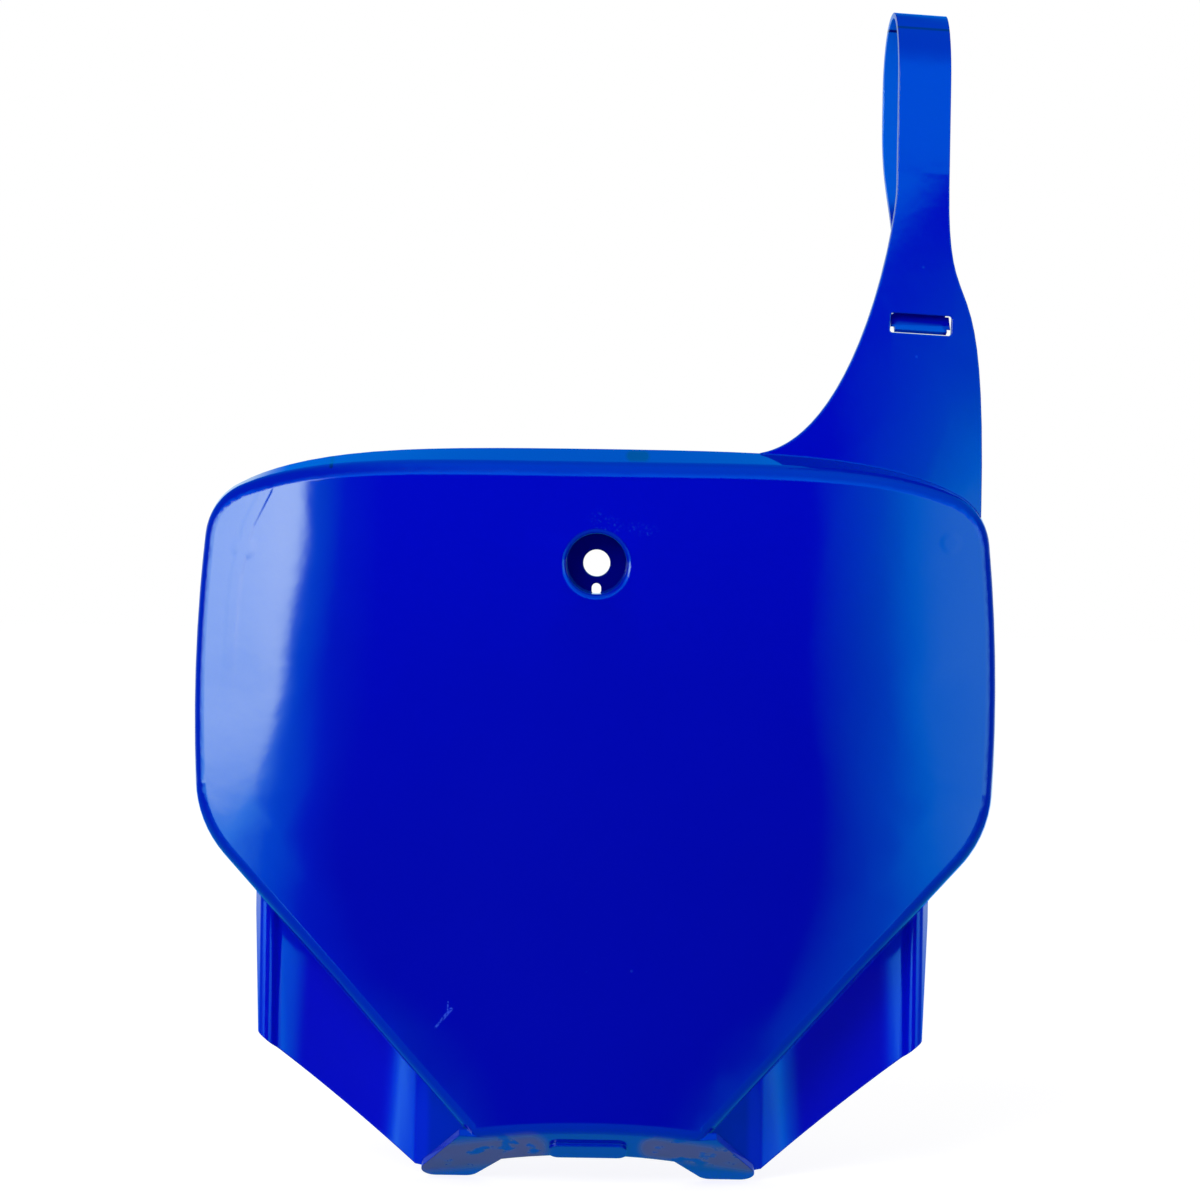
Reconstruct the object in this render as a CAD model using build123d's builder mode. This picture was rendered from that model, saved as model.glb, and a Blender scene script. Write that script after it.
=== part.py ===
"""Racing number board: a moulded shell with a bolt recess, lower lugs, a footed chin and a looped strap."""

import os
from math import cos, radians, sin, sqrt, tan

from build123d import *

# Millimetres. +Z is up and the front faces -Y. The origin is the bolt hole's middle at the recess's seat.
# Depths are measured back from the foremost line of the face.

# Shell
wall = 2.4
rim_depth = 14.0
edge_radius = 4.6

# Bolt recess
recess_depth = 12.0
recess_radius = 9.3
recess_lip = 1.4
seat_thickness = 3.0
bolt_radius = 4.15
drain_width = 2.9
drain_top = 6.2
drain_bottom = 9.9

# Face: its middle line is upright, and its level sections are arcs that tighten towards the chin
face_radius = 414.0
flank_radius = 425.0
cheek_radius = 440.0
jaw_radius = 380.0
chin_radius = 170.0
throat_radius = 105.0

# Outline of the face in the front view, as half-widths and heights
crown_height = 30.1
crown_pull = 92.0
brow = (110.8, 23.8)
corner_half = 119.2
corner_height = 15.9
side_bulge = 2.5
cheek_half = 120.1
cheek_height = -81.5
chin_half = 37.6
chin_height = -173.5
corner_round = 20.0
cheek_round = 36.0
chin_round = 5.0

# How far the rim leans outwards, in millimetres for each millimetre of depth
crown_flare = 0.355
brow_flare = (0.14, -0.02)
corner_flare = (0.062, 0.003)
cheek_flare = (0.115, -0.083)
chin_flare = -0.455
chin_angle = 35.0

# Lugs: shallow trays below the slanting sides
lug_inner = 35.0
lug_outer = 105.3
lug_shoulder = -111.0
lug_corner = (103.7, -148.3)
lug_toe = (54.0, -189.0)
ramp_start = (36.0, 6.5)
crease = (54.0, 27.5)
crease_round = 2.5
pad_sag = 3.9
pad_end = 97.5
pad_round = 3.0
crest_round = 2.6
lip_crest = (102.0, 21.5)
lip_depth = 34.0

# Chin plate: runs on down and back from the shell's bottom wall and ends in two feet
notch_half = 24.0
foot_inner = 36.0
foot_outer = 55.0
foot_depth = 27.0
foot_round = 4.5
ridge_start = (39.5, 4.0)
tab_half = 12.0
tab_height = 1.2
tab_round = 3.0
tab_length = 8.0
tab_setback = 0.5

# Arm: a thin sheet that grows out of the rim at the top right and turns towards the strap.
# Its outline is given as distances across from the strap's middle, and heights.
arm_thickness = 1.8
arm_radius = 470.0
arm_setback = 13.3
arm_base = 10.0
arm_inner = 40.0
arm_root = (-50.0, 34.6)
arm_sweep = (-20.3, 40.0)
arm_narrow = 103.7
arm_top = 118.0
arm_waist = 69.5
arm_hip = 104.0
arm_right = 20.5
arm_foot = 19.6

# Slot in the arm
slot_height = 75.2
slot_length = 19.6
slot_width = 6.1
slot_round = 0.8

# Strap: leaves the arm's top, folds over, swings down behind the arm and ends in the slot.
# Fore and aft sizes run along the strap's own yaw.
strap_middle = 99.4
strap_depth = 24.3
strap_yaw = 8.0
strap_tilt = 2.5
strap_width = 16.4
strap_start = 122.0
loop_top = 172.0
loop_front = 9.3
loop_rise = 21.0
loop_rear = 14.9
loop_drop = 23.0
loop_straight = 10.0
tail_gap = 1.5
tail_straight = 8.0
tail_hook = 7.5
tail_lean = 30.5
tail_clearance = 0.2
barb_width = 18.7
barb_length = 4.0
barb_drop = 1.2

# Working spaces
face_y = -recess_depth
chin_slope = radians(chin_angle)
ahead = 6.0
loft_depth = 45.0
reach = 60.0
margin = 15.0
wide = 500.0


def arc_y(radius, setback, x):
    """Where a level section of the face lies at x, moved back by setback."""
    return face_y + radius - sqrt((radius - setback) ** 2 - x**2)


def face_section(height, radius, half, setback):
    """A level section of all that lies behind the face, with the face moved back by setback."""
    end_y = arc_y(radius, setback, half)
    back_y = face_y + loft_depth + reach
    with BuildSketch(Plane.XY.offset(height)) as section:
        with BuildLine():
            ThreePointArc((-half, end_y), (0, face_y + setback), (half, end_y))
            Polyline((half, end_y), (half, back_y), (-half, back_y), (-half, end_y))
        make_face()
    return section.sketch


def behind_face(setback):
    """All the space behind the face's surface, moved back by setback."""
    side = cheek_half + margin
    with BuildPart() as block:
        sections = [
            face_section(crown_height + 2 * margin, face_radius, side, setback),
            face_section(0, face_radius, side, setback),
            face_section(cheek_height / 2, flank_radius, side, setback),
            face_section(cheek_height, cheek_radius, side, setback),
            face_section((cheek_height + chin_height) / 2, jaw_radius, side - margin, setback),
            face_section(chin_height, chin_radius, side - 3 * margin, setback),
            face_section(chin_height - 2 * margin, throat_radius, side - 4 * margin, setback),
        ]
        loft(sections)
    return block.part


def leaning(point, flare, depth):
    """A point of the outline, carried outwards by the rim's lean."""
    return (point[0] + depth * flare[0], point[1] + depth * flare[1])


def rim_section(depth, inset):
    """The outline at a depth behind the front of the face, moved inwards by inset."""
    crown = leaning((0, crown_height), (0, crown_flare), depth)
    pull = (crown_pull, crown[1])
    arch = leaning(brow, brow_flare, depth)
    corner = leaning((corner_half, corner_height), corner_flare, depth)
    cheek = leaning((cheek_half, cheek_height), cheek_flare, depth)
    chin = leaning((chin_half, chin_height), (chin_flare, -tan(chin_slope)), depth)
    side = ((corner[0] + cheek[0]) / 2 + side_bulge, (corner[1] + cheek[1]) / 2)
    with BuildSketch(Plane.XZ.offset(-(face_y + depth))) as section:
        with BuildLine():
            Bezier(crown, pull, arch, corner)
            ThreePointArc(corner, side, cheek)
            Polyline(cheek, chin, (0, chin[1]), crown)
        make_face()
        for point, radius in ((corner, corner_round), (cheek, cheek_round), (chin, chin_round)):
            vertex = section.vertices().sort_by_distance(point)
            fillet(vertex[0], radius)
        mirror(about=Plane.YZ)
        if inset:
            offset(amount=-inset, mode=Mode.REPLACE)
    return section.sketch


def hull(setback):
    """The closed form of the face and its leaning rim, with every wall moved in by setback."""
    with BuildPart() as form:
        loft([rim_section(-ahead, setback), rim_section(loft_depth, setback)], ruled=True)
        add(behind_face(setback), mode=Mode.INTERSECT)
    return form.part


def lug_plan(inset):
    """A level section of all that lies behind a lug's front surface, moved in by inset."""
    back_y = face_y + loft_depth + reach
    fold = (crease[0], face_y + crease[1])
    start = (2 * ramp_start[0] - crease[0], face_y + 2 * ramp_start[1] - crease[1])
    low = ((crease[0] + pad_end) / 2, face_y + crease[1] + pad_sag)
    rise = (pad_end, face_y + crease[1])
    crest = (lip_crest[0], face_y + lip_crest[1])
    heel = (lug_outer, face_y + lip_depth)
    with BuildSketch() as section:
        with BuildLine():
            Line(start, fold)
            ThreePointArc(fold, low, rise)
            Polyline(rise, crest, heel, (lug_outer, back_y), (start[0], back_y), start)
        make_face()
        for point, radius in ((fold, crease_round), (rise, pad_round), (crest, crest_round)):
            corner = section.vertices().sort_by_distance(point)
            fillet(corner[0], radius)
        if inset:
            offset(amount=-inset, kind=Kind.INTERSECTION, mode=Mode.REPLACE)
    return section.sketch


def behind_lug(inset):
    """All the space behind the right lug's front surface, moved in by inset."""
    low = chin_height - 2 * margin
    with BuildPart() as block:
        with BuildSketch(Plane.XY.offset(low)):
            add(lug_plan(inset))
        extrude(amount=cheek_height - low)
    return block.part


# Closed forms of the shell's outside and of its hollow
outside = hull(0)
inside = hull(wall)

# Slope of the shell's bottom wall
chin_plane = Plane(
    origin=(0, face_y, chin_height),
    x_dir=(1, 0, 0),
    z_dir=(0, sin(chin_slope), cos(chin_slope)),
)

# Right lug's tray
with BuildPart() as tray:
    add(behind_lug(0))
    add(behind_lug(wall), mode=Mode.SUBTRACT)
    with BuildSketch(Plane.XZ.offset(-(face_y + lip_depth))):
        with BuildLine():
            Polyline(
                (lug_inner, cheek_height),
                (lug_outer, cheek_height),
                (lug_outer, lug_shoulder),
                lug_corner,
                lug_toe,
                (lug_inner, lug_toe[1]),
                close=True,
            )
        make_face()
    extrude(amount=lip_depth + ahead, mode=Mode.INTERSECT)
    with BuildSketch(chin_plane):
        Rectangle(wide, wide)
    extrude(amount=-loft_depth, mode=Mode.SUBTRACT)

# Where the rim runs on back as far as the right lug's tray
with BuildPart() as run_on:
    with BuildSketch(Plane.XZ.offset(-(face_y + lip_depth))):
        with BuildLine():
            Polyline(
                (lug_inner, cheek_height),
                (lug_outer, cheek_height),
                (lug_outer, chin_height - margin),
                (lug_inner, chin_height - margin),
                close=True,
            )
        make_face()
    extrude(amount=lip_depth + ahead)
    add(behind_lug(wall), mode=Mode.SUBTRACT)

# All that is cut away behind the rim
with BuildPart() as trim:
    add(behind_face(rim_depth))
    add(run_on.part, mode=Mode.SUBTRACT)
    add(mirror(run_on.part, Plane.YZ, mode=Mode.PRIVATE), mode=Mode.SUBTRACT)

# Right half of the chin plate, with its foot
down = 1 / cos(chin_slope)
with BuildPart() as foot:
    with BuildSketch(chin_plane) as plate:
        with BuildLine():
            Polyline(
                (notch_half - margin, rim_depth / 2 * down),
                (notch_half, rim_depth * down),
                (foot_inner, foot_depth * down),
                (foot_outer, foot_depth * down),
                (ridge_start[0], ridge_start[1] * down),
                close=True,
            )
        make_face()
        for x in (foot_inner, foot_outer):
            vertex = plate.vertices().sort_by_distance((x, foot_depth * down))
            fillet(vertex[0], foot_round)
    extrude(amount=wall)

# Raised tab in the middle of the bottom wall
with BuildPart() as tab:
    with BuildSketch(chin_plane.offset(-tab_height)):
        with Locations((0, rim_depth * down - tab_setback - tab_length / 2)):
            RectangleRounded(2 * tab_half, tab_length, tab_round)
    extrude(amount=tab_height + wall)

# Bolt recess: a round cup behind the face
with BuildPart() as cup:
    with BuildSketch(Plane.XZ.offset(-seat_thickness)):
        Circle(recess_radius + wall)
    extrude(amount=seat_thickness + recess_depth - wall / 2)

# Frames of the arm and the strap: across the strap, down along its slanting fold, and back through it
yaw = radians(strap_yaw)
tilt = radians(strap_tilt)
across = (cos(yaw), sin(yaw), 0)
slant = (cos(yaw) * cos(tilt), sin(yaw) * cos(tilt), -sin(tilt))
through = (-sin(yaw), cos(yaw), 0)
strap_y = face_y + strap_depth
front_plane = Plane(origin=(strap_middle, strap_y, 0), x_dir=across, z_dir=(sin(yaw), -cos(yaw), 0))
fold_normal = (cos(yaw) * sin(tilt), sin(yaw) * sin(tilt), cos(tilt))
fold_plane = Plane(origin=(strap_middle, strap_y, strap_start), x_dir=slant, z_dir=fold_normal)
half = strap_width / 2

# Arm: its sheet turns from a curve along the rim to the strap's flat front
with BuildPart() as arm:
    near = arm_inner, (arm_inner + cheek_half) / 2, cheek_half
    front_arc = [(x, arc_y(arm_radius, arm_setback, x)) for x in near]
    back_arc = [(x, arc_y(arm_radius, arm_setback + arm_thickness, x)) for x in near]
    with BuildSketch(Plane.XY.offset(arm_base)):
        with BuildLine():
            ThreePointArc(*front_arc)
            Line(front_arc[2], back_arc[2])
            ThreePointArc(*back_arc)
            Line(back_arc[0], front_arc[0])
        make_face()
    with BuildSketch(fold_plane):
        with Locations(((near[0] + near[2]) / 2 - strap_middle, arm_thickness / 2)):
            Rectangle(near[2] - near[0], arm_thickness)
    loft(ruled=True)
    with BuildSketch(front_plane):
        with BuildLine():
            Bezier(arm_root, arm_sweep, (-half, arm_narrow), (-half, arm_top))
            Polyline(
                (-half, arm_top),
                (-half, strap_start + margin),
                (half, strap_start + margin),
                (half, arm_top),
            )
            Bezier((half, arm_top), (half, arm_waist), (arm_right, arm_hip), (arm_right, arm_foot))
            Polyline((arm_right, arm_foot), (arm_right, arm_base), (arm_root[0], arm_base), arm_root)
        make_face()
    extrude(amount=2 * margin, both=True, mode=Mode.INTERSECT)
    with BuildSketch(front_plane):
        with Locations(Location((0, slot_height), -strap_tilt)):
            RectangleRounded(slot_length, slot_width, slot_round)
    extrude(amount=margin, both=True, mode=Mode.SUBTRACT)


def strap_length(width):
    """The strap at a given width: it rises from the arm, folds over and swings down into the slot."""
    mid = arm_thickness / 2
    crest = (mid + loop_front, loop_top - mid)
    bend = (mid, crest[1] - loop_rise)
    rear = (crest[0] + loop_rear, crest[1] - loop_drop)
    hang_top = (rear[0], rear[1] - loop_straight)
    hang = arm_thickness + tail_gap + mid
    lean = radians(tail_lean)
    tail_end = slot_height - slot_width / 2 + tail_clearance + mid * sin(lean)
    hook = (hang, tail_end + tail_hook)
    swing = (hang, hook[1] + tail_straight)
    left_edge = Vector(strap_middle, strap_y, 0) - Vector(*slant) * (width / 2 / cos(tilt))
    with BuildPart() as length:
        with BuildSketch(Plane(origin=left_edge, x_dir=through, z_dir=across)):
            with BuildLine():
                Line((mid, strap_start), bend)
                EllipticalCenterArc((crest[0], bend[1]), loop_front, loop_rise, 180, arc_size=-90)
                EllipticalCenterArc((crest[0], rear[1]), loop_rear, loop_drop, 90, arc_size=-90)
                Line(rear, hang_top)
                Spline(hang_top, swing, tangents=((0, -1), (0, -1)))
                Line(swing, hook)
                Spline(hook, (mid, tail_end), tangents=((0, -1), (-sin(lean), -cos(lean))))
            trace(line_width=arm_thickness)
        extrude(amount=width / cos(tilt), dir=slant)
    return length.part


# Strap, with a barb on each side of its tip
with BuildPart() as strap:
    add(strap_length(barb_width))
    with BuildSketch(front_plane):
        with Locations(Location((0, slot_height - barb_drop + barb_length / 2), -strap_tilt)):
            Rectangle(wide, barb_length)
    extrude(amount=2 * margin, both=True, mode=Mode.INTERSECT)
    add(strap_length(strap_width))

# The whole board
with BuildPart() as board:
    add(outside)
    add(trim.part, mode=Mode.SUBTRACT)
    front = board.faces().sort_by(Axis.Y)[0]
    fillet(front.edges(), edge_radius)
    for piece in (tray.part, foot.part):
        add(piece)
        add(mirror(piece, Plane.YZ, mode=Mode.PRIVATE))
    add(tab.part)
    add(arm.part)
    add(inside, mode=Mode.SUBTRACT)
    add(strap.part)
    add(cup.part)
    with BuildSketch(Plane.XZ):
        Circle(recess_radius)
    extrude(amount=recess_depth + ahead, mode=Mode.SUBTRACT)
    mouth = board.edges().sort_by_distance((0, face_y, 0))[0]
    fillet(mouth, recess_lip)
    with BuildSketch(Plane.XZ):
        Circle(bolt_radius)
        with Locations((0, -(drain_top + drain_bottom) / 2)):
            SlotOverall(drain_bottom - drain_top, drain_width, rotation=90)
    extrude(amount=-seat_thickness, mode=Mode.SUBTRACT)

board.part.label = "number_board"
os.makedirs("parts", exist_ok=True)
export_step(board.part, "parts/number_board.step")
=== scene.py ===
from math import radians

import bpy
from mathutils import Euler, Matrix, Vector


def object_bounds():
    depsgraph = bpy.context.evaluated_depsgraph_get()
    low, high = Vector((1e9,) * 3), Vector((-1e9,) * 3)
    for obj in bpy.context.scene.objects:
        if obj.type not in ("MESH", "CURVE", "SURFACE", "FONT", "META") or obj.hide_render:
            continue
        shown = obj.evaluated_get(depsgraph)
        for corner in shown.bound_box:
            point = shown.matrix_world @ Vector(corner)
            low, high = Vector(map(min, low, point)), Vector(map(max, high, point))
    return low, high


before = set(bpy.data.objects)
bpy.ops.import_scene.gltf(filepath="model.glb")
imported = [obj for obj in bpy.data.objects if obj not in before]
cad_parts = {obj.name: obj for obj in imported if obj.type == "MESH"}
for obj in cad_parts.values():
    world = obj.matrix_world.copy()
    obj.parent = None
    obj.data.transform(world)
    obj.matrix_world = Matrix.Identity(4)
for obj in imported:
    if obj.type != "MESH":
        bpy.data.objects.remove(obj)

bl_info = {
    "name": "Racing Number Board",
    "version": (1, 0, 0),
    "blender": (4, 5, 0),
    "location": "View3D > Sidebar > Number Board",
    "description": "Finishes the moulded number board and sets up its studio",
    "category": "Object",
}

CAD_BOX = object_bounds()
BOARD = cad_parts["number_board"]
LOWEST = CAD_BOX[0].z

# Marks on the plastic in the front view: a start and an end, across and up in metres, and a width
SCRATCHES = [
    ((-0.0473, -0.1431), (-0.0436, -0.1384), 0.0010),
    ((-0.0450, -0.1402), (-0.0425, -0.1372), 0.0014),
    ((-0.0436, -0.1384), (-0.0435, -0.1350), 0.0006),
]
SCUFFS = [
    ((0.0112, 0.0112), (0.0172, 0.0098), 0.0050),
    ((0.0005, 0.0135), (0.0050, 0.0115), 0.0080),
]
RIPPLES = [
    ((-0.1090, 0.0031), (-0.1090, 0.0031), 0.0094),
    ((-0.1020, 0.0213), (-0.1075, 0.0103), 0.0050),
    ((-0.1075, 0.0103), (-0.1112, -0.0053), 0.0050),
    ((-0.1112, -0.0053), (-0.1122, -0.0147), 0.0050),
    ((-0.1122, -0.0147), (-0.1144, -0.0550), 0.0050),
    ((0.1091, 0.0077), (0.1091, 0.0077), 0.0080),
]
# Dark painted reflections on the top band, and painted shade along a crease in the strap
PAINTED_DARK_MARKS = [
    ((-0.0823, 0.0318), (-0.0820, 0.0284), 0.0016),
    ((0.0102, 0.0331), (0.0140, 0.0331), 0.0046),
    ((0.0880, 0.1674), (0.1130, 0.1664), 0.0011),
]
FOOT_SCUFFS = [
    ((-0.0500, -0.1860), (-0.0180, -0.1810), 0.0150),
    ((0.0500, -0.1850), (0.0200, -0.1800), 0.0110),
]
# Where painted light shows through the strap's end in its slot
SLOT_END = [((0.0925, 0.0742), (0.1050, 0.0734), 0.0046)]

# Share of a stroke's half-width, from its middle, where its mask is full
STROKE_CORE = 0.4
# Height where the ripples fade out, downwards
RIPPLE_FADE = (-0.05, -0.01)

# Where the strap's slender rear half and the lugs' pads start, upwards and backwards in metres; both get
# painted light as if light showed through them
STRAP_RISE = (0.106, 0.116)
STRAP_BACK = (0.017, 0.026)
PAD_RISE = (-0.090, -0.100)
PAD_BACK = (0.009, 0.012)
# Radius and depth of the floor of the bolt's recess, which is darkened with painted shade
RECESS_RADIUS = (0.0096, 0.0088)
RECESS_BACK = (-0.0045, -0.0015)

# How far a surface must face the front to show wear, and face down to be a foot's sole
FACING = (0.5, 0.8)
DOWNWARDS = (0.25, 0.45)

# Patterns in the plastic: how many to the metre, and which of their values show
GRIT_SCALE = 1400.0
SCRATCH_GRIT = (0.3, 0.6)
SCUFF_GRIT = (0.52, 0.75)
SPECK_SCALE = 70.0
SPECK_FROM = 0.8
SPECK_SIZE = (0.04, 0.015)
CLOUD_SCALE = 22.0
CLOUD_SHADE = 0.96
CLOUD_ROUGHNESS = 0.03
BLOTCH_SCALE = 130.0
BLOTCHES = (0.36, 0.46)
PEEL_SCALE = 140.0
PEEL_STRENGTH = 0.05
PEEL_HEIGHT = 0.0002

# Strengths of the scuffs and specks, and of the painted backlight at the slot end
FAINT_WEAR = 0.4
SLOT_END_TINT = 0.45
# What the pads add to the roughness, and what the painted shade in the recess takes from the shine
PAD_ROUGHNESS = 0.05
SHINE = 0.5
RECESS_SHINE_LOSS = 0.35
BEVEL_SAMPLES = 6

# Reflections: brightness in red, green and blue, where the floor is 1
BRIGHTEST = 12.0
DARK = (0.0, 0.0, 0.0)
DIM = (0.0, 0.25, 1.2)
FAR = (0.6, 0.85, 1.1)
HIGH_SIDES = (0.0, 0.3, 1.2)
HIGH_LEFT = (0.0, 0.192, 0.6)
# The room by its rise, and the walls by their turn from the front, in degrees
ROOM = [
    (-12.0, DARK),
    (-6.0, (0.0, 0.0, 0.2)),
    (-3.3, (0.0, 0.0, 0.9)),
    (-0.6, (0.0, 0.0, 2.9)),
    (3.2, (0.0, 0.03, 3.2)),
    (3.8, (0.0, 1.7, 6.5)),
]
LEFT_WALL = [
    (21.5, DARK),
    (25.2, (0.0, 0.13, 1.8)),
    (28.8, (0.0, 1.2, 4.0)),
    (31.5, (0.6, 4.0, 7.5)),
    (60.0, (0.6, 4.0, 7.5)),
    (80.0, DIM),
    (120.0, DIM),
    (150.0, FAR),
]
SOFTBOX = [
    (32.0, (7.9, 11.2, 11.4)),
    (37.0, (6.3, 10.0, 11.0)),
    (60.0, (3.5, 7.0, 8.6)),
    (80.0, DIM),
    (120.0, DIM),
    (150.0, FAR),
]
RIGHT_WALL = [
    (21.0, DARK),
    (28.0, (0.0, 1.0, 2.4)),
    (31.4, (0.0, 2.3, 4.5)),
    (36.0, (0.4, 2.9, 5.0)),
    (60.0, (0.6, 3.0, 5.0)),
    (80.0, DIM),
    (120.0, DIM),
    (150.0, FAR),
]
LOW_WALLS = [(45.0, (0.0, 1.0, 3.0)), (65.0, DIM)]
# Ceiling and ground by how far they lie back, from -1 to 1
CEILING = [(-0.3, (0.0, 0.85, 2.8)), (0.3, (0.0, 0.5, 1.4))]
GROUND = [(-0.2, (0.0, 0.45, 0.9)), (0.4, (0.02, 0.6, 0.9))]
# Where one gives way to the next: turns, rises and falls in degrees, and the ceiling's left as a share
ROOM_END = (60.0, 90.0)
SOFTBOX_EDGE = (28.8, 30.2)
SOFTBOX_FALL = (5.5, 0.5)
WALL_RISE = (7.0, 16.0)
LOW_FALL = (5.0, 8.0)
LOW_TURN = (31.0, 38.0)
CEILING_RISE = (12.0, 35.0)
CEILING_LEFT = (-0.15, -0.5)
GROUND_FALL = (12.0, 25.0)
# The left wall's and the softbox's edges slant outwards below the middle: the fall where that starts and the
# degrees over which it goes on, and the degrees of turn for each of them
SLANT_FALL = (0.8, 4.0)
WALL_SLANT = 0.55
SOFTBOX_SLANT = 1.1

# Light from all round: what counts as in front, and the share that is missing there
IN_FRONT = (0.6, 0.95)
FRONT_LOSS = 0.5
# Floor: its size and its gap below the board in metres, its colour, and how it glows for the camera
FLOOR_SIZE = 8.0
FLOOR_GAP = 0.0005
FLOOR_COLOUR = (0.9, 0.9, 0.9, 1.0)
FLOOR_GLOW = 1.35
FLOOR_GLOW_SHARE = 0.6
WHITE = (1.0, 1.0, 1.0, 1.0)
# Lamp in front, at the upper left, in metres
KEY_PLACE = (-0.6, -1.3, 0.75)
KEY_SIZE = 0.9


class BoardSettings(bpy.types.PropertyGroup):
    """Colour and finish of the moulded plastic."""

    colour: bpy.props.FloatVectorProperty(
        name="Colour",
        description="Colour of the plastic",
        subtype="COLOR",
        default=(0.0002, 0.0022, 0.42),
    )
    # Painted light: the strap's rear half is lightened as if light showed through it
    painted_backlight_colour: bpy.props.FloatVectorProperty(
        name="Painted backlight colour",
        description="Colour of the strap's rear half, where light shows through it",
        subtype="COLOR",
        default=(0.0006, 0.12, 0.75),
    )
    worn_colour: bpy.props.FloatVectorProperty(
        name="Worn colour",
        description="Colour of the plastic where it is scratched",
        subtype="COLOR",
        default=(0.001, 0.035, 0.5),
    )
    # Painted light: the pads are lightened as if light showed through them
    pad_painted_light_colour: bpy.props.FloatVectorProperty(
        name="Pad painted light colour",
        description="Colour of the lugs' pads, where some light shows through them",
        subtype="COLOR",
        default=(0.0002, 0.003, 0.56),
    )
    # Painted shade: darkens the recess's floor, and gives the dark painted reflections and crease shade
    painted_shade_colour: bpy.props.FloatVectorProperty(
        name="Painted shade colour",
        description="Colour of the recess's floor and of the dark painted marks",
        subtype="COLOR",
        default=(0.0001, 0.0012, 0.16),
    )
    scuff_colour: bpy.props.FloatVectorProperty(
        name="Scuff colour",
        description="Greyish colour of the rubbed feet",
        subtype="COLOR",
        default=(0.1, 0.055, 0.21),
    )
    roughness: bpy.props.FloatProperty(
        name="Roughness",
        description="Roughness of the polished surface",
        default=0.05,
        min=0.0,
        max=1.0,
    )
    worn_roughness: bpy.props.FloatProperty(
        name="Worn roughness",
        description="Roughness that is added where it is scratched or rubbed",
        default=0.4,
        min=0.0,
        max=1.0,
    )
    edge_radius: bpy.props.FloatProperty(
        name="Edge radius",
        description="Softening of the moulded edges",
        default=0.0006,
        unit="LENGTH",
    )
    ripple_height: bpy.props.FloatProperty(
        name="Ripple height",
        description="Height of the ripples by the sides",
        default=0.000033,
        unit="LENGTH",
    )


class StudioSettings(bpy.types.PropertyGroup):
    """Camera, lamp and surroundings."""

    distance: bpy.props.FloatProperty(
        name="Distance", description="From the camera to the bolt hole", default=1.3, unit="LENGTH"
    )
    azimuth: bpy.props.FloatProperty(
        name="Azimuth", description="Camera's turn to the right", default=radians(0.3), subtype="ANGLE"
    )
    elevation: bpy.props.FloatProperty(
        name="Elevation", description="Camera's height", default=radians(1.5), subtype="ANGLE"
    )
    roll: bpy.props.FloatProperty(
        name="Roll", description="Camera's lean", default=radians(0.87), subtype="ANGLE"
    )
    lens: bpy.props.FloatProperty(
        name="Lens", description="Focal length in millimetres", default=126.75
    )
    shift: bpy.props.FloatVectorProperty(
        name="Shift", description="Lens shift, as shares of the picture", size=2, default=(0.0027, -0.0309)
    )
    ambient: bpy.props.FloatProperty(
        name="Ambient", description="Light from all round, halved in front", default=0.55
    )
    key: bpy.props.FloatProperty(
        name="Key", description="Power of the lamp", default=15.5, unit="POWER"
    )


def opaque(colour):
    """A colour with its alpha."""
    return (*colour, 1.0)


def reflected(colour):
    """A brightness in the reflections, as a share of the greatest."""
    return opaque(level / BRIGHTEST for level in colour)


class NodeWriter:
    """Adds nodes to a node tree and links them."""

    def __init__(self, tree):
        self.tree = tree
        tree.nodes.clear()

    def add(self, kind, inputs=None, **settings):
        """A node of a kind, with its settings, and with its inputs given as values or as sockets to link."""
        node = self.tree.nodes.new(kind)
        for name, value in settings.items():
            setattr(node, name, value)
        for key, value in (inputs or {}).items():
            if isinstance(value, bpy.types.NodeSocket):
                self.tree.links.new(value, node.inputs[key])
            else:
                node.inputs[key].default_value = value
        return node

    def math(self, operation, *values, clamp=False):
        """A number worked out from one to three numbers."""
        inputs = dict(enumerate(values))
        return self.add("ShaderNodeMath", inputs, operation=operation, use_clamp=clamp).outputs[0]

    def vector(self, operation, *values):
        """A vector, or a number, worked out from vectors."""
        node = self.add("ShaderNodeVectorMath", dict(enumerate(values)), operation=operation)
        return node.outputs["Value" if operation in ("DOT_PRODUCT", "LENGTH") else "Vector"]

    def noise(self, place, scale, detail):
        """A cloudy pattern of values from 0 to 1."""
        inputs = {"Vector": place, "Scale": scale, "Detail": detail}
        return self.add("ShaderNodeTexNoise", inputs).outputs["Fac"]

    def span(self, value, low, high):
        """How far a value is from low to high, from 0 to 1, with soft ends."""
        inputs = {"Value": value, "From Min": low, "From Max": high}
        return self.add("ShaderNodeMapRange", inputs, interpolation_type="SMOOTHSTEP").outputs["Result"]

    def mix(self, share, first, second, blend="MIX"):
        """A colour between two colours."""
        inputs = {"Factor": share, 6: first, 7: second}
        return self.add("ShaderNodeMix", inputs, data_type="RGBA", blend_type=blend).outputs[2]

    def ramp(self, value, low, high, stops):
        """A brightness of the surroundings, by stops along a value that runs from low to high."""
        share = self.math("DIVIDE", self.math("SUBTRACT", value, low), high - low)
        node = self.add("ShaderNodeValToRGB", {"Fac": share})
        elements = node.color_ramp.elements
        while len(elements) < len(stops):
            elements.new(1.0)
        for element, (place, colour) in zip(elements, stops):
            element.position = (place - low) / (high - low)
            element.color = reflected(colour)
        return node.outputs["Color"]


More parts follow.
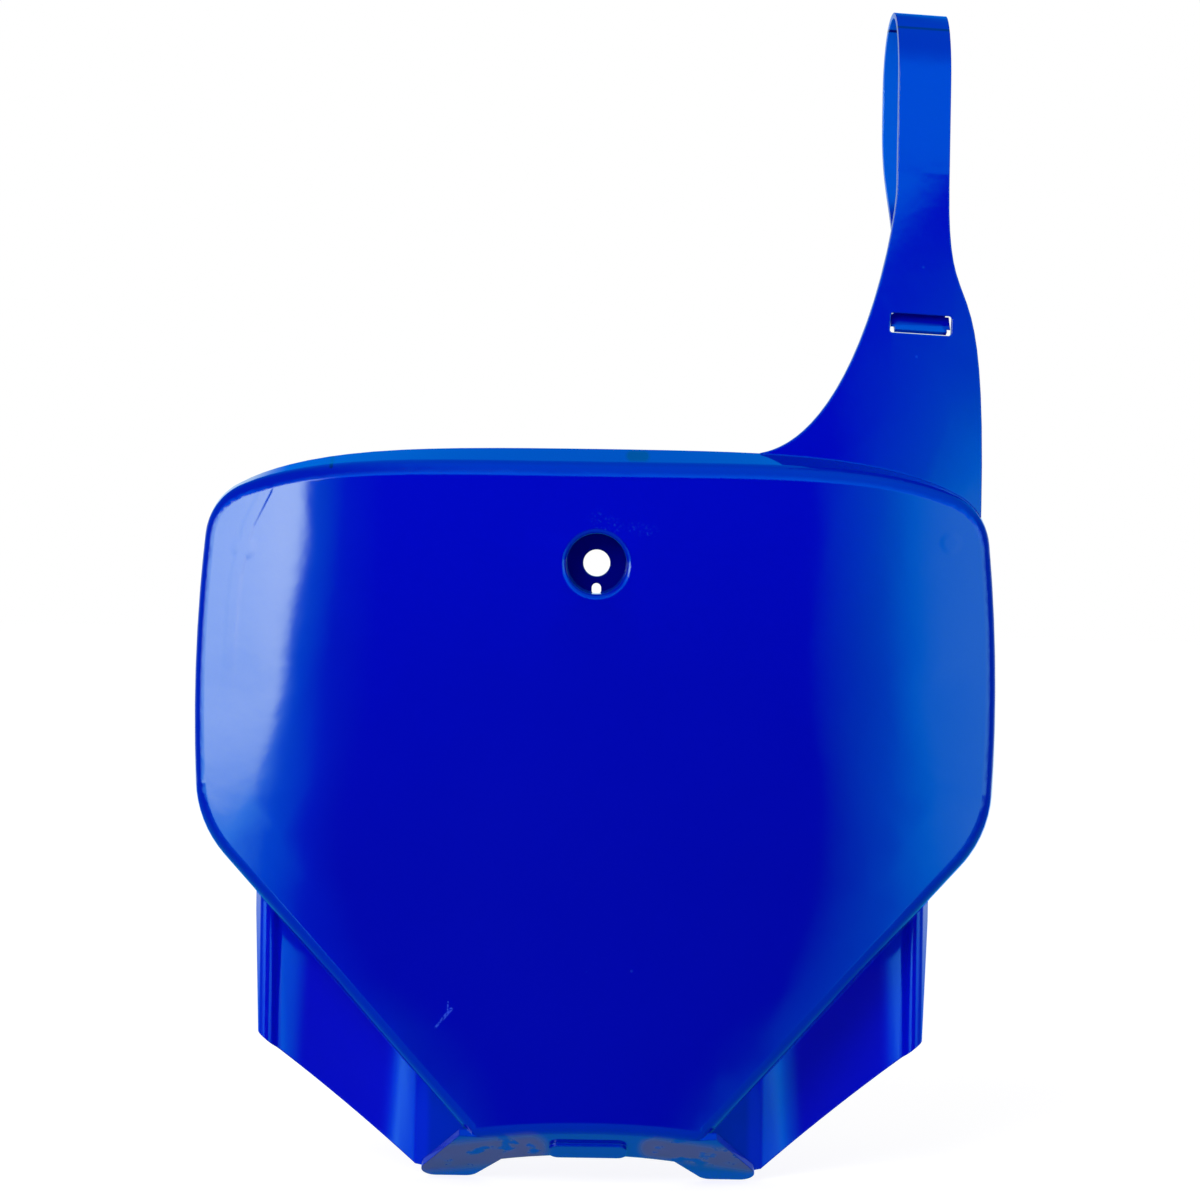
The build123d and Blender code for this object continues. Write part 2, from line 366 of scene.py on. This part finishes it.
def stroke_group():
    """A mask along a stroke from one place to another, which is a round spot where both are the same."""
    group = bpy.data.node_groups.new("stroke", "ShaderNodeTree")
    for name, kind in (("Place", "Vector"), ("Start", "Vector"), ("End", "Vector"), ("Width", "Float")):
        group.interface.new_socket(name, in_out="INPUT", socket_type="NodeSocket" + kind)
    group.interface.new_socket("Mask", in_out="OUTPUT", socket_type="NodeSocketFloat")
    write = NodeWriter(group)
    given = write.add("NodeGroupInput").outputs
    away = write.vector("SUBTRACT", given["Place"], given["Start"])
    run = write.vector("SUBTRACT", given["End"], given["Start"])
    reach = write.vector("DOT_PRODUCT", away, run)
    along = write.math("DIVIDE", reach, write.vector("DOT_PRODUCT", run, run), clamp=True)
    scaled = write.add("ShaderNodeVectorMath", {0: run, "Scale": along}, operation="SCALE").outputs["Vector"]
    gap = write.vector("LENGTH", write.vector("SUBTRACT", away, scaled))
    half = write.math("MULTIPLY", given["Width"], 0.5)
    mask = write.span(gap, half, write.math("MULTIPLY", half, STROKE_CORE))
    write.add("NodeGroupOutput", {"Mask": mask})
    return group


def stroke_mask(write, group, place, strokes):
    """One mask of several strokes in the front view."""
    mask = 0.0
    for start, end, width in strokes:
        inputs = {
            "Place": place,
            "Start": (start[0], 0.0, start[1]),
            "End": (end[0], 0.0, end[1]),
            "Width": width,
        }
        stroke = write.add("ShaderNodeGroup", inputs, node_tree=group)
        mask = write.math("MAXIMUM", mask, stroke.outputs["Mask"])
    return mask


def plastic_material(settings):
    """Glossy moulded plastic with cloudy colour, a fine peel, ripples, scratches and specks, painted light
    and painted shade.
    """
    material = bpy.data.materials.new("gloss_plastic")
    material.use_nodes = True
    write = NodeWriter(material.node_tree)
    coordinates = write.add("ShaderNodeTexCoord").outputs
    place = coordinates["Object"]
    axes = write.add("ShaderNodeSeparateXYZ", {0: place}).outputs
    front_view = write.vector("MULTIPLY", place, (1.0, 0.0, 1.0))
    forwards = write.vector("DOT_PRODUCT", coordinates["Normal"], (0.0, -1.0, 0.0))
    facing = write.span(forwards, *FACING)
    downwards = write.vector("DOT_PRODUCT", coordinates["Normal"], (0.0, 0.0, -1.0))
    group = stroke_group()

    def strokes(marks):
        """A mask of a list of marks."""
        return stroke_mask(write, group, front_view, marks)

    # Wear on the front
    grit = write.noise(place, GRIT_SCALE, detail=3.0)
    scratch = write.math("MULTIPLY", strokes(SCRATCHES), write.span(grit, *SCRATCH_GRIT))
    brush = write.math("MULTIPLY", strokes(SCUFFS), write.span(grit, *SCUFF_GRIT))
    cells = write.add("ShaderNodeTexVoronoi", {"Vector": front_view, "Scale": SPECK_SCALE}).outputs
    chance = write.vector("DOT_PRODUCT", cells["Color"], (1.0, 0.0, 0.0))
    chosen = write.math("GREATER_THAN", chance, SPECK_FROM)
    speck = write.math("MULTIPLY", write.span(cells["Distance"], *SPECK_SIZE), chosen)
    faint = write.math("MULTIPLY", write.math("MAXIMUM", brush, speck), FAINT_WEAR)
    worn = write.math("MULTIPLY", write.math("MAXIMUM", scratch, faint), facing)

    # Rubbed soles of the feet
    blotch = write.noise(place, BLOTCH_SCALE, detail=4.0)
    sole = write.math("MULTIPLY", strokes(FOOT_SCUFFS), write.span(downwards, *DOWNWARDS))
    rubbed = write.math("MULTIPLY", sole, write.span(blotch, *BLOTCHES))

    # Painted light through the strap's rear half, the slot end and the pads, painted shade in the recess and
    # dark painted marks
    pad = write.math("MULTIPLY", write.span(axes["Z"], *PAD_RISE), write.span(axes["Y"], *PAD_BACK))
    strap = write.math("MULTIPLY", write.span(axes["Z"], *STRAP_RISE), write.span(axes["Y"], *STRAP_BACK))
    slot_end = write.math("MULTIPLY", strokes(SLOT_END), SLOT_END_TINT)
    painted_backlight = write.math("MAXIMUM", strap, slot_end)
    inside = write.span(write.vector("LENGTH", front_view), *RECESS_RADIUS)
    deep = write.span(axes["Y"], *RECESS_BACK)
    recess = write.math("MULTIPLY", write.math("MULTIPLY", inside, facing), deep)
    painted_shade = write.math("MAXIMUM", recess, strokes(PAINTED_DARK_MARKS))

    # Colour
    cloud = write.noise(place, CLOUD_SCALE, detail=3.0)
    shaded = tuple(CLOUD_SHADE * level for level in settings.colour)
    colour = write.mix(cloud, opaque(shaded), opaque(settings.colour))
    # Painted light on the lugs' pads
    colour = write.mix(pad, colour, opaque(settings.pad_painted_light_colour))
    # Painted light through the strap's rear half and at the slot end
    colour = write.mix(painted_backlight, colour, opaque(settings.painted_backlight_colour))
    # Painted shade in the recess, and dark painted reflections and crease shade
    colour = write.mix(painted_shade, colour, opaque(settings.painted_shade_colour))
    colour = write.mix(rubbed, colour, opaque(settings.scuff_colour))
    colour = write.mix(worn, colour, opaque(settings.worn_colour))

    # Roughness
    polish = write.math("MULTIPLY_ADD", cloud, CLOUD_ROUGHNESS, settings.roughness - CLOUD_ROUGHNESS / 2)
    dull = write.math("MULTIPLY", write.math("MAXIMUM", worn, rubbed), settings.worn_roughness)
    roughness = write.math("ADD", write.math("MULTIPLY_ADD", pad, PAD_ROUGHNESS, polish), dull)

    # Soft edges, ripples by the sides and a fine peel
    bevel = write.add("ShaderNodeBevel", {"Radius": settings.edge_radius}, samples=BEVEL_SAMPLES)
    ripple = write.math("MULTIPLY", strokes(RIPPLES), facing)
    ripple = write.math("MULTIPLY", ripple, write.span(axes["Z"], *RIPPLE_FADE))
    rippled = write.add(
        "ShaderNodeBump",
        {
            "Height": ripple,
            "Normal": bevel.outputs["Normal"],
            "Distance": settings.ripple_height,
        },
    )
    peeled = write.add(
        "ShaderNodeBump",
        {
            "Height": write.noise(place, PEEL_SCALE, detail=2.0),
            "Normal": rippled.outputs["Normal"],
            "Strength": PEEL_STRENGTH,
            "Distance": PEEL_HEIGHT,
        },
    )
    shader = write.add(
        "ShaderNodeBsdfPrincipled",
        {
            "Base Color": colour,
            "Roughness": roughness,
            # Less shine in the recess, to go with its painted shade
            "Specular IOR Level": write.math("MULTIPLY_ADD", recess, -RECESS_SHINE_LOSS, SHINE),
            "Normal": peeled.outputs["Normal"],
        },
    )
    write.add("ShaderNodeOutputMaterial", {"Surface": shader.outputs["BSDF"]})
    return material


class NUMBERBOARD_OT_finish(bpy.types.Operator):
    """Gives the moulded board its glossy plastic"""

    bl_idname = "numberboard.finish"
    bl_label = "Finish Board"

    def execute(self, context):
        material = plastic_material(context.scene.number_board)
        for slot in BOARD.material_slots:
            slot.material = material
        return {"FINISHED"}


def reflections(write):
    """What the board's gloss mirrors by direction: a softbox on the left, a paler wall on the right."""
    way = write.add("ShaderNodeTexCoord").outputs["Generated"]
    axes = write.add("ShaderNodeSeparateXYZ", {0: way}).outputs
    forwards = write.math("MULTIPLY", axes["Y"], -1.0)
    turn = write.math("DEGREES", write.math("ARCTAN2", axes["X"], forwards))
    rise = write.math("DEGREES", write.math("ARCSINE", axes["Z"]))
    fall = write.math("MAXIMUM", write.math("MULTIPLY", rise, -1.0), 0.0)
    leftwards = write.math("MULTIPLY", turn, -1.0)
    aside = write.math("ABSOLUTE", turn)

    # Walls, with the softbox in front of the left one
    below_middle = write.math("MAXIMUM", write.math("SUBTRACT", fall, SLANT_FALL[0]), 0.0)
    slant = write.math("MINIMUM", below_middle, SLANT_FALL[1])
    wall_turn = write.math("SUBTRACT", leftwards, write.math("MULTIPLY", slant, WALL_SLANT))
    left = write.ramp(wall_turn, 0.0, 180.0, LEFT_WALL)
    softbox = write.ramp(leftwards, 0.0, 180.0, SOFTBOX)
    box_turn = write.math("SUBTRACT", leftwards, write.math("MULTIPLY", slant, SOFTBOX_SLANT))
    edge = write.math("MULTIPLY", write.span(box_turn, *SOFTBOX_EDGE), write.span(fall, *SOFTBOX_FALL))
    left = write.mix(edge, left, softbox)
    right = write.ramp(turn, 0.0, 180.0, RIGHT_WALL)
    walls = write.mix(write.math("GREATER_THAN", turn, 0.0), left, right)
    walls = write.mix(write.span(rise, *WALL_RISE), walls, reflected(HIGH_SIDES))
    low = write.math("MULTIPLY", write.span(fall, *LOW_FALL), write.span(aside, *LOW_TURN))
    walls = write.mix(low, walls, write.ramp(aside, 0.0, 180.0, LOW_WALLS))

    # Room in front, ceiling and ground
    room = write.ramp(rise, -15.0, 15.0, ROOM)
    room = write.mix(write.span(aside, *ROOM_END), room, reflected(DARK))
    seen = write.mix(1.0, room, walls, blend="LIGHTEN")
    ceiling = write.ramp(axes["Y"], -1.0, 1.0, CEILING)
    ceiling = write.mix(write.span(axes["X"], *CEILING_LEFT), ceiling, reflected(HIGH_LEFT))
    seen = write.mix(write.span(rise, *CEILING_RISE), seen, ceiling)
    ground = write.ramp(axes["Y"], -1.0, 1.0, GROUND)
    return write.mix(write.span(fall, *GROUND_FALL), seen, ground)


def studio_world(settings):
    """White to the camera, an even light on the board, and a softbox in its gloss."""
    world = bpy.data.worlds.new("studio")
    world.use_nodes = True
    write = NodeWriter(world.node_tree)
    path = write.add("ShaderNodeLightPath").outputs
    seen = write.math("MAXIMUM", path["Is Camera Ray"], path["Is Transmission Ray"])
    way = write.add("ShaderNodeTexCoord").outputs["Generated"]
    frontal = write.span(write.vector("DOT_PRODUCT", way, (0.0, -1.0, 0.0)), *IN_FRONT)
    level = write.math("MULTIPLY_ADD", frontal, -FRONT_LOSS * settings.ambient, settings.ambient)
    even = write.add("ShaderNodeBackground", {"Color": WHITE, "Strength": level})
    glossy = write.add("ShaderNodeBackground", {"Color": reflections(write), "Strength": BRIGHTEST})
    white = write.add("ShaderNodeBackground", {"Color": WHITE, "Strength": 1.0})
    lit = write.add(
        "ShaderNodeMixShader", {0: path["Is Glossy Ray"], 1: even.outputs[0], 2: glossy.outputs[0]}
    )
    both = write.add("ShaderNodeMixShader", {0: seen, 1: lit.outputs[0], 2: white.outputs[0]})
    write.add("ShaderNodeOutputWorld", {"Surface": both.outputs[0]})
    return world


def floor_material():
    """A pale floor that the camera sees as white, with the board's shadow."""
    material = bpy.data.materials.new("pale_floor")
    material.use_nodes = True
    write = NodeWriter(material.node_tree)
    path = write.add("ShaderNodeLightPath").outputs
    matt = write.add("ShaderNodeBsdfDiffuse", {"Color": FLOOR_COLOUR})
    white = write.add("ShaderNodeEmission", {"Color": WHITE, "Strength": FLOOR_GLOW})
    share = write.math("MULTIPLY", path["Is Camera Ray"], FLOOR_GLOW_SHARE)
    both = write.add("ShaderNodeMixShader", {0: share, 1: matt.outputs[0], 2: white.outputs[0]})
    write.add("ShaderNodeOutputMaterial", {"Surface": both.outputs[0]})
    return material


class NUMBERBOARD_OT_studio(bpy.types.Operator):
    """Makes the floor, the lamp, the surroundings and the camera"""

    bl_idname = "numberboard.studio"
    bl_label = "Set Up Studio"

    def execute(self, context):
        scene = context.scene
        settings = scene.number_studio
        scene.view_settings.view_transform = "Standard"
        scene.world = studio_world(settings)

        bpy.ops.mesh.primitive_plane_add(size=FLOOR_SIZE, location=(0.0, 0.0, LOWEST - FLOOR_GAP))
        floor = context.object
        floor.name = "floor"
        floor.data.materials.append(floor_material())
        floor.visible_glossy = False

        lamp = bpy.data.lights.new("key_lamp", "AREA")
        lamp.shape = "SQUARE"
        lamp.size = KEY_SIZE
        lamp.energy = settings.key
        key = bpy.data.objects.new("key_lamp", lamp)
        scene.collection.objects.link(key)
        key.location = KEY_PLACE
        key.rotation_euler = (-Vector(KEY_PLACE)).to_track_quat("-Z", "Y").to_euler()
        key.visible_glossy = False

        camera = bpy.data.objects.new("camera", bpy.data.cameras.new("camera"))
        scene.collection.objects.link(camera)
        camera.data.lens = settings.lens
        camera.data.shift_x, camera.data.shift_y = settings.shift
        turned = Euler((radians(90.0) - settings.elevation, 0.0, settings.azimuth)).to_matrix()
        aim = turned @ Matrix.Rotation(settings.roll, 3, "Z")
        camera.matrix_world = Matrix.Translation(turned.col[2] * settings.distance) @ aim.to_4x4()
        scene.camera = camera
        return {"FINISHED"}


class NUMBERBOARD_PT_panel(bpy.types.Panel):
    """Lists the board's settings and steps"""

    bl_idname = "NUMBERBOARD_PT_panel"
    bl_label = "Number Board"
    bl_space_type = "VIEW_3D"
    bl_region_type = "UI"
    bl_category = "Number Board"

    def draw(self, context):
        scene = context.scene
        steps = (
            (scene.number_board, NUMBERBOARD_OT_finish),
            (scene.number_studio, NUMBERBOARD_OT_studio),
        )
        for settings, step in steps:
            column = self.layout.column()
            for name in settings.__annotations__:
                column.prop(settings, name)
            column.operator(step.bl_idname)


CLASSES = (
    BoardSettings,
    StudioSettings,
    NUMBERBOARD_OT_finish,
    NUMBERBOARD_OT_studio,
    NUMBERBOARD_PT_panel,
)


def register():
    for cls in CLASSES:
        bpy.utils.register_class(cls)
    bpy.types.Scene.number_board = bpy.props.PointerProperty(type=BoardSettings)
    bpy.types.Scene.number_studio = bpy.props.PointerProperty(type=StudioSettings)


def unregister():
    del bpy.types.Scene.number_studio
    del bpy.types.Scene.number_board
    for cls in reversed(CLASSES):
        bpy.utils.unregister_class(cls)


def main():
    register()
    bpy.ops.numberboard.finish()
    bpy.ops.numberboard.studio()


if __name__ == "__main__":
    main()
